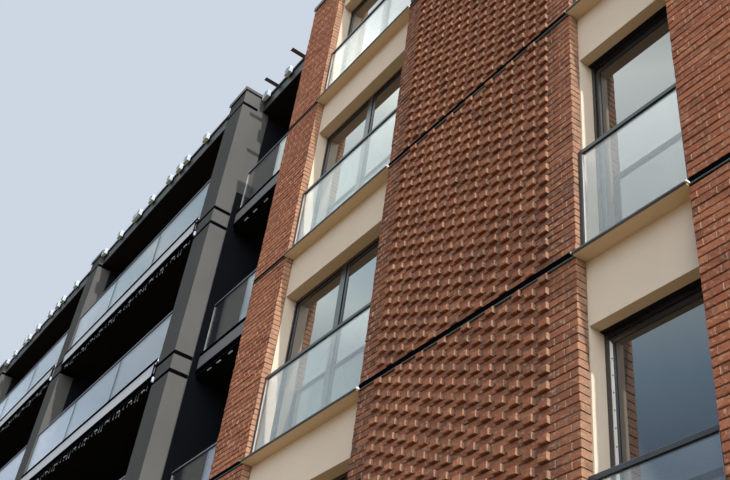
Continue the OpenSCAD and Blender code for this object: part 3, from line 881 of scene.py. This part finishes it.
GASKET_W = 0.006
GASKET_OUT = 0.003
HEAD_SEAL_D = 0.050
HEAD_SEAL_T = 0.006
SASH_W = 0.050
SASH_GAP = 0.0005
SASH_SET = 0.012
SASH_GASKET_W = 0.009
GUARD_GASKET_W = 0.007
SPACER_GAP = 0.012
SPACER_R = 0.010
SPACER_FROM_END = 0.20

# The pale strip is on the sash whose pane is nearest to this X and Z
STRIP_AT = (11.258, 3.64)
STRIP_W = 0.036
STRIP_T = 0.003
STRIP_TIP = 0.060
STUD_R = 0.006
STUD_PITCH = 0.150
STUD_FROM_END = 0.08


def gasket_ring(name, width, height, band):
    """A flat ring that faces -Y, its middle at the origin."""
    ring = added(name, bpy.ops.mesh.primitive_plane_add, size=1.0)
    ring.scale = (width, height, 1.0)
    ring.rotation_euler.x = math.pi / 2
    apply_place(ring)
    pick(ring, "FACE", every)
    bpy.ops.mesh.inset(thickness=band)
    bpy.ops.mesh.delete(type="FACE")
    return softened(modified(ring, "SOLIDIFY", thickness=GASKET_OUT, offset=1.0), GASKET_OUT / 3)


def rings_on(boxes, name, spread, band, front):
    """A ring on the outer face of each box, as wide as the box and twice the spread."""
    of_size = {}
    for low, high in boxes:
        size = (round(high.x - low.x, 3), round(high.z - low.z, 3))
        middle = (low + high) / 2
        middle.y = low.y if front else high.y
        of_size.setdefault(size, []).append(middle)
    rings = []
    for (width, height), places in of_size.items():
        pattern = gasket_ring(name, width + 2 * spread, height + 2 * spread, band)
        if not front:
            pattern.rotation_euler.z = math.pi
            apply_place(pattern)
        rings.append(copies_at(places, pattern))
    return rings


def fit_gaskets():
    """Black seals round each pane, and round each sash of the front windows."""
    panes = solids_of("window_panes")
    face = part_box("window_rails")[0].y + SASH_SET
    sashes = [(Vector((low.x, face, low.z)), Vector((high.x, face, high.z))) for low, high in panes]
    for name, boxes, spread, band, front in (
            ("glazing_gaskets", panes, 0.0, GASKET_W, True),
            ("door_gaskets", solids_of("door_panes"), 0.0, GASKET_W, True),
            ("rear_gaskets", solids_of("rear_panes"), 0.0, GASKET_W, False),
            ("sash_gaskets", sashes, SASH_W, SASH_GASKET_W, True)):
        install(name, rings_on(boxes, name, spread, band, front), "black_rubber")


def fit_head_seals():
    """A black strip under the soffit, in front of the head of each narrow window's frame."""
    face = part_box("window_rails")[0].y
    tops = {round(high.z, 2) for _, high in solids_of("window_panes")}
    seals = []
    for low, high in solids_of("window_rails"):
        narrow = high.x - low.x < NARROW_WINDOW
        if narrow and low.y < face + 0.001 and round(low.z - SASH_W - SASH_GAP, 2) in tops:
            seal = new_block("head_seal", (low.x, face - HEAD_SEAL_D, high.z - HEAD_SEAL_T),
                             (high.x, face + 0.002, high.z))
            pick(seal, "EDGE", both_ends(
                lambda at: at.y < face - 0.01 and at.z < high.z - HEAD_SEAL_T / 2))
            move(0.0, 0.004, 0.0)
            seals.append(softened(seal, 0.001))
    install("head_seals", seals, "black_rubber")


def fit_guards():
    """Pale seals where the guards' glass meets the posts, and the spacers between posts and jambs."""
    posts = solids_of("guard_posts")
    panes = solids_of("guard_panes_glass")
    seals = []
    spacers = {-1: [], 1: []}
    for left, right in zip(posts[0::2], posts[1::2]):
        pane = min(panes, key=lambda box: abs(box[0].z - left[0].z) + abs(box[0].x - left[1].x))
        for inner, way in ((left[1].x, 1), (right[0].x, -1)):
            edge = inner + way * GUARD_GASKET_W
            seals.append(eased_block(
                "guard_seal", (min(inner, edge), pane[0].y - 0.004, pane[0].z + 0.012),
                (max(inner, edge), pane[1].y + 0.004, pane[1].z - 0.012), 0.0015))
        for outer, way in ((left[0].x, -1), (right[1].x, 1)):
            for height in (left[0].z + SPACER_FROM_END, left[1].z - SPACER_FROM_END):
                spacers[way].append((outer, (left[0].y + left[1].y) / 2, height))
    install("guard_seals", seals, "pale_rubber")
    sides = []
    for way, places in spacers.items():
        pattern = new_bar("guard_spacer", SPACER_R, (0, 0, 0), (way * SPACER_GAP, 0, 0), 10)
        pick(pattern, "FACE", lambda face: abs(face.normal.x) < 0.5)
        bpy.ops.mesh.inset(thickness=0.003, use_individual=False)
        resize(1.0, 0.75, 0.75)
        sides.append(copies_at(places, pattern))
    install("guard_spacers", sides, "black_sheet")


def fit_sash_strip():
    """The pale cover strip with its row of dark studs on one sash of the narrow column."""
    x, z = STRIP_AT
    pane = min(solids_of("window_panes"), key=lambda box: abs(box[0].x - x) + abs(box[0].z - z))
    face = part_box("window_rails")[0].y + SASH_SET
    left = pane[0].x - SASH_W
    low = pane[0].z - SASH_W + 0.02
    high = pane[1].z + SASH_W - 0.01
    strip = new_block("sash_strip", (left, face - STRIP_T, low), (left + STRIP_W, face, high))
    pick(strip, "EDGE", both_ends(lambda at: at.z > high - 0.001 and at.x > left + 0.01))
    move(0.0, 0.0, -STRIP_TIP)
    install("sash_strip", [softened(strip, 0.0008)], "white_plastic")
    at = Vector((left + STRIP_W - 0.009, face - STRIP_T, low + STUD_FROM_END))
    stud = new_bar("sash_stud", STUD_R, at, at - Vector((0.0, STRIP_T, 0.0)), 8)
    inset_front(stud, 0.002, -0.001)
    count = int((high - STRIP_TIP - low - 0.10) / STUD_PITCH) + 1
    install("sash_studs", [repeated(stud, count, (0.0, 0.0, STUD_PITCH))], "black_sheet")


# Loggias

# A strip below this level has no lamps or hoop
LOWEST_LAMPS = COURSE * STOREY_COURSES / 2
RIVET_R = 0.011
RIVET_PITCH = 0.84
RIVET_FROM_EDGE = 0.035
COLLAR_H = 0.350
BAND_BELOW = 0.066
BAND_ABOVE = 0.010

LAMP_PITCH = 0.50
LAMP_MARGIN = 0.60
LAMP_HALF = 0.062
LAMP_R = 0.011
LAMP_DROP = 0.050
LAMP_ARM = 0.012
FIRST_LAMP = 0.309
NARROW_LAMPS = (1.368, 1.748, 2.064)
BATTEN = 0.022
BATTEN_BELOW = 0.10
DROP_R = 0.0045
BEAD_R = 0.011
DROP_LENGTHS = (0.075, 0.145, 0.100, 0.060, 0.125)
DROP_PITCH = 0.155
DROP_MARGIN = 0.15
DROP_SWAY = 0.03
HOOP_R = 0.012
HOOP_W = 0.115
HOOP_BEYOND = 0.070
HOOP_UNDER_TOP = 0.10
HOOP_BELOW = 0.05
HOOP_TIP_R = 0.022
HOOP_TIP_H = 0.085


def rivet(radius, height):
    """A domed head that stands out towards -Y from the origin."""
    head = new_bar("rivet", radius, (0, 0, 0), (0, -height * 0.5, 0), 8)
    inset_front(head, radius * 0.35, -height * 0.5)
    return head


def fit_strips():
    """Domed heads along the light strips on the floors' edges."""
    places = []
    for low, high in solids_of("loggia_edge_strips"):
        count = round((high.x - low.x) / RIVET_PITCH)
        pitch = (high.x - low.x) / count
        for i in range(count):
            for z in (low.z + RIVET_FROM_EDGE, high.z - RIVET_FROM_EDGE):
                places.append((low.x + (i + 0.5) * pitch, low.y, z))
    install("strip_heads", [copies_at(places, rivet(RIVET_R, 0.006))], "strip_sheet")


def fit_covers():
    """Black covers on the light strips, seals between the panes, pale edges and beads on the guards."""
    covers = []
    for low, high in solids_of("loggia_edge_strips"):
        for out, back, foot, head in ((0.008, 0.001, high.z - 0.050, high.z + 0.015),
                                      (0.008, 0.001, low.z - 0.003, low.z + 0.060),
                                      (0.006, 0.0205, low.z - 0.015, low.z - 0.0005)):
            covers.append(panelled_block("strip_cover", (low.x, low.y - out, foot),
                                         (high.x, low.y + back, head), 0.010, -0.003, 0.0015))
    install("strip_covers", covers, "matte_black")

    def upright(name, start, end, low, high):
        """A strip up the end of a pane, clear of its channel and its top rail."""
        return eased_block(name, (start, low.y - 0.003, low.z + 0.11),
                           (end, high.y + 0.003, high.z - 0.02), 0.002)

    panes = solids_of("loggia_glass")
    seals = []
    for (low, high), (next_low, _) in zip(panes, panes[1:]):
        if 0.0 < next_low.x - high.x < 0.05:
            seals.append(upright("pane_seal", high.x - 0.005, next_low.x + 0.005, low, high))
    install("pane_seals", seals, "matte_black")
    edges = [upright("pane_edge", low.x - 0.004, low.x + 0.008, low, high)
             for low, high in panes if low.y > SET_BACK_Y]
    install("pane_edges", edges, "pale_rubber")
    beads = [eased_block("rail_bead", (low.x, low.y - 0.002, high.z - 0.008),
                         (high.x, low.y + 0.008, high.z + 0.002), 0.001)
             for low, high in solids_of("loggia_top_rails")]
    install("rail_beads", beads, "clamp_metal")


def fit_shadow_bands():
    """Black bands over the grooves of the pilasters, which stand in for the grooves' shadow: painted
    shade.
    """
    bands = []
    for low, high in solids_of("pilasters"):
        if high.z < TOP_BAND or high.x - low.x < BANDED_PILASTER:
            continue
        for storey in range(STOREYS + 1):
            level = (1 + PLINTH_COURSES) * COURSE + storey * (STOREY_COURSES + 1) * COURSE
            for z in (level - COLLAR_H, level):
                if z <= TOP_BAND:
                    bands.append(panelled_block(
                        "shadow_band", (low.x - 0.001, low.y - 0.001, z - BAND_BELOW),
                        (high.x + 0.001, high.y - 0.01, z + BAND_ABOVE), 0.004, 0.0006, 0.001))
    install("shadow_bands", bands, "matte_black")


def lamp_places(low, high):
    """Where the tube lamps hang along a floor's edge."""
    if high.x - low.x < NARROW_BAY:
        return [high.x - out for out in NARROW_LAMPS]
    count = int((high.x - low.x - LAMP_MARGIN) / LAMP_PITCH) + 1
    return [high.x - FIRST_LAMP - LAMP_PITCH * i for i in range(count)]


def fit_floor_lamps():
    """A dark batten under each floor edge, with pale tube lamps and short hanging drops."""
    tubes = []
    holders = []
    battens = []
    drops = [[] for _ in DROP_LENGTHS]
    for low, high in solids_of("loggia_edge_strips"):
        if low.z < LOWEST_LAMPS:
            continue
        y = low.y + 0.009
        under = low.z - BATTEN_BELOW
        battens.append(eased_block("batten", (low.x + 0.05, y - BATTEN / 2, under - 0.004),
                                   (high.x - 0.05, y + BATTEN / 2, under + BATTEN), 0.003))
        for x in lamp_places(low, high):
            tubes.append((x, y - 0.004, under - LAMP_DROP))
            holders.append((x, y, under - LAMP_DROP))
        if high.x - low.x > NARROW_BAY:
            for i in range(int((high.x - low.x - 2 * DROP_MARGIN) / DROP_PITCH)):
                x = high.x - DROP_MARGIN - DROP_PITCH * i + DROP_SWAY * math.sin(5.0 * i)
                drops[i * 3 % len(drops)].append((x, y, under))
    install("lamp_tubes", [copies_at(tubes, lamp_tube())], "lamp_plastic")
    install("lamp_holders", [copies_at(holders, lamp_holder()), *battens], "matte_black")
    hung = [copies_at(places, hanging_drop(length)) for length, places in zip(DROP_LENGTHS, drops)]
    install("hanging_drops", hung, "drop_metal")


def lamp_tube():
    """A tube along X with rounded ends, its middle at the origin."""
    tube = new_bar("lamp_tube", LAMP_R, (-LAMP_HALF, 0, 0), (LAMP_HALF, 0, 0), 10)
    at_end = both_ends(lambda at: abs(at.x) > LAMP_HALF - 0.001)
    pick(tube, "EDGE", lambda edge: at_end(edge) and edge.calc_length() < LAMP_R)
    bpy.ops.mesh.bevel(offset=0.004, segments=2)
    return tube


def lamp_holder():
    """A bar above the tube, with an arm down at each end."""
    reach = LAMP_HALF + 0.02
    holder = new_block("lamp_holder", (-reach, -0.012, LAMP_R - 0.002), (reach, 0.012, LAMP_DROP))
    for way in (-1, 1):
        pick(holder, "FACE", facing(way, 0, 0, where=lambda at: at.z > LAMP_R))
        pull(way * LAMP_ARM, 0.0, 0.0)
        pick(holder, "FACE", facing(0, 0, -1, where=lambda at: at.x * way > reach))
        pull(0.0, 0.0, -2 * LAMP_R)
    return softened(holder, 0.002)


def hanging_drop(length):
    """A stiff rod with a bead at its foot, hung from the origin."""
    rod = new_bar("drop", DROP_R, (0, 0, 0.002), (0, 0, -length), 6)
    pick(rod, "FACE", facing(0, 0, -1))
    pull(0.0, 0.0, -0.008)
    resize(BEAD_R / DROP_R, BEAD_R / DROP_R, 1.0)
    pull(0.0, 0.0, -0.018)
    pull(0.0, 0.0, -0.008)
    resize(0.4, 0.4, 1.0)
    return rod


def fit_hoops():
    """A bent rod at the right end of each wide strip, with a pale foot on its outer leg."""
    hoops = []
    feet = []
    for low, high in solids_of("loggia_edge_strips"):
        if high.x - low.x < NARROW_BAY or low.z < LOWEST_LAMPS:
            continue
        top = high.z - HOOP_UNDER_TOP
        end = low.z - HOOP_BELOW
        x = high.x + HOOP_BEYOND
        y = low.y - HOOP_R
        leg = new_bar("strip_hoop", HOOP_R, (x, y, end), (x, y, top), 8)
        pick(leg, "FACE", facing(0, 0, 1))
        bpy.ops.mesh.spin(steps=6, angle=math.pi, center=(x - HOOP_W / 2, y, top),
                          axis=(0.0, -1.0, 0.0))
        pull(0.0, 0.0, -(top - low.z - 0.02))
        face_outward(leg)
        hoops.append(leg)
        foot = new_bar("hoop_foot", HOOP_TIP_R, (x, y, end), (x, y, end - HOOP_TIP_H), 10)
        pick(foot, "FACE", facing(0, 0, -1))
        bpy.ops.mesh.inset(thickness=0.006)
        move(0.0, 0.0, 0.010)
        pick(foot, "FACE", facing(0, 0, 1))
        pull(0.0, 0.0, 0.012)
        resize(0.6, 0.6, 1.0)
        feet.append(foot)
    install("strip_hoops", hoops, "matte_black")
    install("hoop_feet", feet, "clamp_metal")


def fit_door_handles():
    """A lever on a long plate beside each door leaf."""
    plate = eased_block("door_handle", (-0.016, -0.007, -0.085), (0.016, 0.0, 0.085), 0.003)
    lever = new_bar("lever", 0.008, (0.0, -0.006, 0.035), (0.0, -0.050, 0.035), 8)
    pick(lever, "FACE", facing(0, -1, 0))
    bpy.ops.mesh.spin(steps=3, angle=math.pi / 2, center=(0.016, -0.050, 0.035), axis=(0.0, 0.0, 1.0))
    pull(0.105, 0.0, 0.0)
    face_outward(lever)
    handle = joined([plate, lever], "door_handle")
    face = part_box("door_stiles")[0].y
    places = [(low.x - 0.030, face + SASH_SET, low.z + 0.95) for low, _ in solids_of("door_panes")]
    install("door_handles", [copies_at(places, handle)], "clamp_metal")


# Roof

ROOF_EDGE_Z = 16.20
NARROW_EDGE_BACK = 0.36
CLAMP_HALF = 0.100
CLAMP_OUT = 0.080
CLAMP_DROP = 0.120
CLAMP_TOP = 0.040
CLAMP_TONGUE = 0.110
CLAMP_JAW_RIM = 0.024
CLAMP_JAW_DEPTH = 0.030
LAP_W = 0.100
LAP_T = 0.004
SHEET_W = 1.0

# X of the clamps along the roof edges of the wide bays and of the narrow bay
WIDE_CLAMPS = (0.37, -0.54, -0.91, -1.41, -2.345, -3.045, -3.26, -4.145, -5.10, -7.00, -7.94, -8.325,
               -8.89, -9.855, -10.585, -10.90, -11.79, -12.50)
NARROW_CLAMPS = (3.185, 2.340)


def roof_clamp():
    """A clamp over the coping, whose top front edge is at the origin: tongue, jaw and slot."""
    clamp = new_block("roof_clamp", (-CLAMP_HALF, -CLAMP_OUT, 0.0), (CLAMP_HALF, CLAMP_TONGUE, CLAMP_TOP))
    pick(clamp, "FACE", every)
    bpy.ops.mesh.bisect(plane_co=(0.0, 0.0, 0.0), plane_no=(0.0, 1.0, 0.0))
    pick(clamp, "FACE", facing(0, 0, -1, where=lambda at: at.y < 0.0))
    pull(0.0, 0.0, -CLAMP_DROP)
    pick(clamp, "FACE", facing(0, -1, 0, where=lambda at: at.z < 0.0))
    bpy.ops.mesh.inset(thickness=CLAMP_JAW_RIM)
    move(0.0, CLAMP_JAW_DEPTH, 0.0)
    pick(clamp, "FACE", facing(0, 1, 0, where=lambda at: at.z > 0.0))
    resize(0.6, 1.0, 0.5)
    move(0.0, 0.0, -CLAMP_TOP * 0.25)
    return softened(clamp, 0.004)


def fit_clamps():
    edge_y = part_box("wing_copings")[0].y
    places = [(x, edge_y, ROOF_EDGE_Z) for x in WIDE_CLAMPS]
    places += [(x, edge_y + NARROW_EDGE_BACK, ROOF_EDGE_Z) for x in NARROW_CLAMPS]
    install("roof_clamps", [copies_at(places, roof_clamp())], "clamp_sheet")
    bolts = [(x, y - CLAMP_OUT, z + CLAMP_TOP * 0.4) for x, y, z in places]
    install("clamp_bolts", [copies_at(bolts, rivet(0.012, 0.009))], "black_sheet")


def lay_felt():
    """The overlaps between the sheets of felt, as low strips across the roofs."""
    laps = []
    for low, high in solids_of("block_roof_deck") + solids_of("wing_roof_decks"):
        count = int((high.x - low.x - LAP_W) / SHEET_W)
        if count >= 1:
            x = low.x + SHEET_W / 2
            lap = eased_block("felt_lap", (x, low.y + 0.01, high.z - 0.001),
                              (x + LAP_W, high.y - 0.01, high.z + LAP_T), LAP_T / 2)
            laps.append(repeated(lap, count, (SHEET_W, 0.0, 0.0)))
    install("felt_laps", laps, "felt_laps")


# Stage

# Place and aim of the photograph's camera: it stands on the ground to the right and looks up
CAMERA_PLACE = (15.637, -10.636, 1.562)
CAMERA_TURN = math.radians(59.582)
CAMERA_RISE = math.radians(38.698)
CAMERA_ROLL = math.radians(8.256)
FOCAL_PIXELS = 983.0
IMAGE_W = 730
SENSOR_W = 36.0

# The low sun comes along the front from the right
SUN_RISE = math.radians(42.5)
SUN_OFF_FRONT = math.radians(7.5)
SUN_STRENGTH = 4.2
FLOOR_SIZE = 400.0

# Strength of the studio's light: its colours are divided by this, and the light multiplied by it
LIGHT_GAIN = 4.5

# Direction of the large bright screen at the front right
SCREEN_WAY = (0.80, -0.45, 0.40)

# What the glass mirrors, from the floor up: dim and blue, then pale and bright, in three parts
AHEAD = (
    (0.00, 0.12, 0.11, 0.10), (0.10, 0.25, 0.30, 0.36), (0.45, 0.30, 0.40, 0.56),
    (0.53, 0.53, 0.75, 0.97), (0.62, 1.20, 1.38, 1.38), (0.67, 1.66, 1.78, 1.72),
    (0.75, 2.36, 2.46, 2.30), (0.79, 1.25, 1.33, 1.27), (1.00, 1.25, 1.33, 1.27),
)
BESIDE = (
    (0.00, 0.12, 0.11, 0.10), (0.10, 0.45, 0.52, 0.60), (0.40, 0.90, 1.08, 1.10),
    (0.49, 0.93, 1.13, 1.15), (0.53, 0.95, 1.08, 1.10), (0.57, 1.52, 1.68, 1.58),
    (0.61, 1.08, 1.36, 1.50), (0.66, 1.28, 1.46, 1.36), (0.69, 1.25, 1.38, 1.33),
    (0.74, 1.78, 1.92, 1.74), (1.00, 1.90, 2.00, 1.90),
)
BEYOND = (
    (0.00, 0.12, 0.11, 0.10), (0.10, 0.50, 0.60, 0.75), (0.40, 0.80, 0.94, 1.12),
    (0.45, 0.62, 0.75, 0.88), (0.50, 0.72, 0.82, 0.92), (0.53, 0.76, 0.90, 1.00),
    (0.56, 0.66, 0.82, 0.91), (0.58, 0.86, 0.96, 0.97), (0.60, 0.74, 0.88, 0.96),
    (0.63, 0.60, 0.76, 0.86), (0.72, 1.10, 1.22, 1.24), (1.00, 1.60, 1.70, 1.64),
)


def set_camera():
    lens = bpy.data.cameras.new("camera")
    lens.sensor_width = SENSOR_W
    lens.lens = FOCAL_PIXELS * SENSOR_W / IMAGE_W
    lens.clip_start = 0.05
    lens.clip_end = 1000.0
    camera = bpy.data.objects.new("camera", lens)
    bpy.context.scene.collection.objects.link(camera)
    camera.matrix_world = (Matrix.Translation(CAMERA_PLACE)
                           @ Matrix.Rotation(CAMERA_TURN, 4, "Z")
                           @ Matrix.Rotation(math.pi / 2 + CAMERA_RISE, 4, "X")
                           @ Matrix.Rotation(CAMERA_ROLL, 4, "Z"))
    bpy.context.scene.camera = camera


def set_sun():
    sun = bpy.data.lights.new("sun", "SUN")
    sun.energy = SUN_STRENGTH
    sun.color = (1.0, 0.94, 0.86)
    sun.angle = math.radians(0.8)
    lamp = bpy.data.objects.new("sun", sun)
    bpy.context.scene.collection.objects.link(lamp)
    to_sun = Vector((math.cos(SUN_RISE) * math.cos(SUN_OFF_FRONT),
                     -math.cos(SUN_RISE) * math.sin(SUN_OFF_FRONT),
                     math.sin(SUN_RISE)))
    lamp.rotation_euler = to_sun.to_track_quat("Z", "Y").to_euler()


def light(*colour):
    return tuple(part / LIGHT_GAIN for part in colour)


def set_studio_light():
    world = bpy.data.worlds.new("studio")
    bpy.context.scene.world = world
    world.use_nodes = True
    studio = Shading(world.node_tree)
    studio.place = studio.node("TexCoord", {}, "Generated")
    height = studio.along("Z")

    # Soft light: warm from the floor, a dim dome in front, a paler one behind, and the screen
    above = studio.grey_ramp(height, -0.04, 0.04)
    behind = studio.grey_ramp(studio.along("Y"), 0.0, 0.35)
    dome = studio.blend(behind, light(0.15, 0.30, 0.50), light(0.95, 1.00, 1.05))
    towards = studio.node("VectorMath", {0: studio.place, 1: Vector(SCREEN_WAY).normalized()}, "Value",
                          operation="DOT_PRODUCT")
    screen = studio.grey_ramp(towards, 0.0, 1.0) ** 4.0
    dome = studio.blend(screen, dome, light(3.9, 4.0, 4.1))
    soft = studio.blend(above, light(0.40, 0.275, 0.135), dome)

    ahead, beside, beyond = [
        studio.ramp(height, [(position, *light(*colour)) for position, *colour in stops])
        for stops in (AHEAD, BESIDE, BEYOND)]
    across = studio.along("X")
    mirrored = studio.blend(studio.grey_ramp(across, -0.60, -0.57), beside, ahead)
    mirrored = studio.blend(studio.grey_ramp(across - 0.42 * height, -1.00, -0.98), beyond, mirrored)
    uneven = studio.grey_ramp(studio.noise(2.4, 3.0, 0.5), 0.35, 0.65)
    uneven = studio.blend(uneven, (0.72, 0.76, 0.83), (1.0, 1.0, 1.0))
    mirrored = studio.blend(1.0, mirrored, uneven, "MULTIPLY")

    # Glass and metal mirror the one, all else is lit by the other, and the backdrop is plain
    colour = studio.blend(studio.node("LightPath", {}, "Is Glossy Ray"), soft, mirrored)
    colour = studio.blend(studio.node("LightPath", {}, "Is Camera Ray"), colour, light(0.61, 0.67, 0.77))
    shine = studio.node("Background", {"Color": colour, "Strength": LIGHT_GAIN})
    out = studio.tree.nodes.new("ShaderNodeOutputWorld")
    studio.feed(out.inputs["Surface"], shine)


def set_floor():
    floor = added("studio_floor", bpy.ops.mesh.primitive_plane_add, size=FLOOR_SIZE,
                  location=(0.0, 0.0, -0.002))
    finish = Finish("studio_floor", 0.1)
    finish.coat((0.42, 0.43, 0.44, 1.0), 0.95)
    floor.data.materials.append(finish.material)
    floor.visible_diffuse = False
    floor.visible_glossy = False


bpy.context.scene.view_settings.view_transform = "Standard"
set_camera()
set_sun()
set_studio_light()
set_floor()
finishes = {name: make(name, *given) for make, kind in KINDS for name, given in kind.items()}
finish_cad_nodes()
lay_brickwork()
line_slots()
fit_gaskets()
fit_head_seals()
fit_guards()
fit_sash_strip()
fit_strips()
fit_covers()
fit_shadow_bands()
fit_floor_lamps()
fit_hoops()
fit_door_handles()
fit_clamps()
lay_felt()
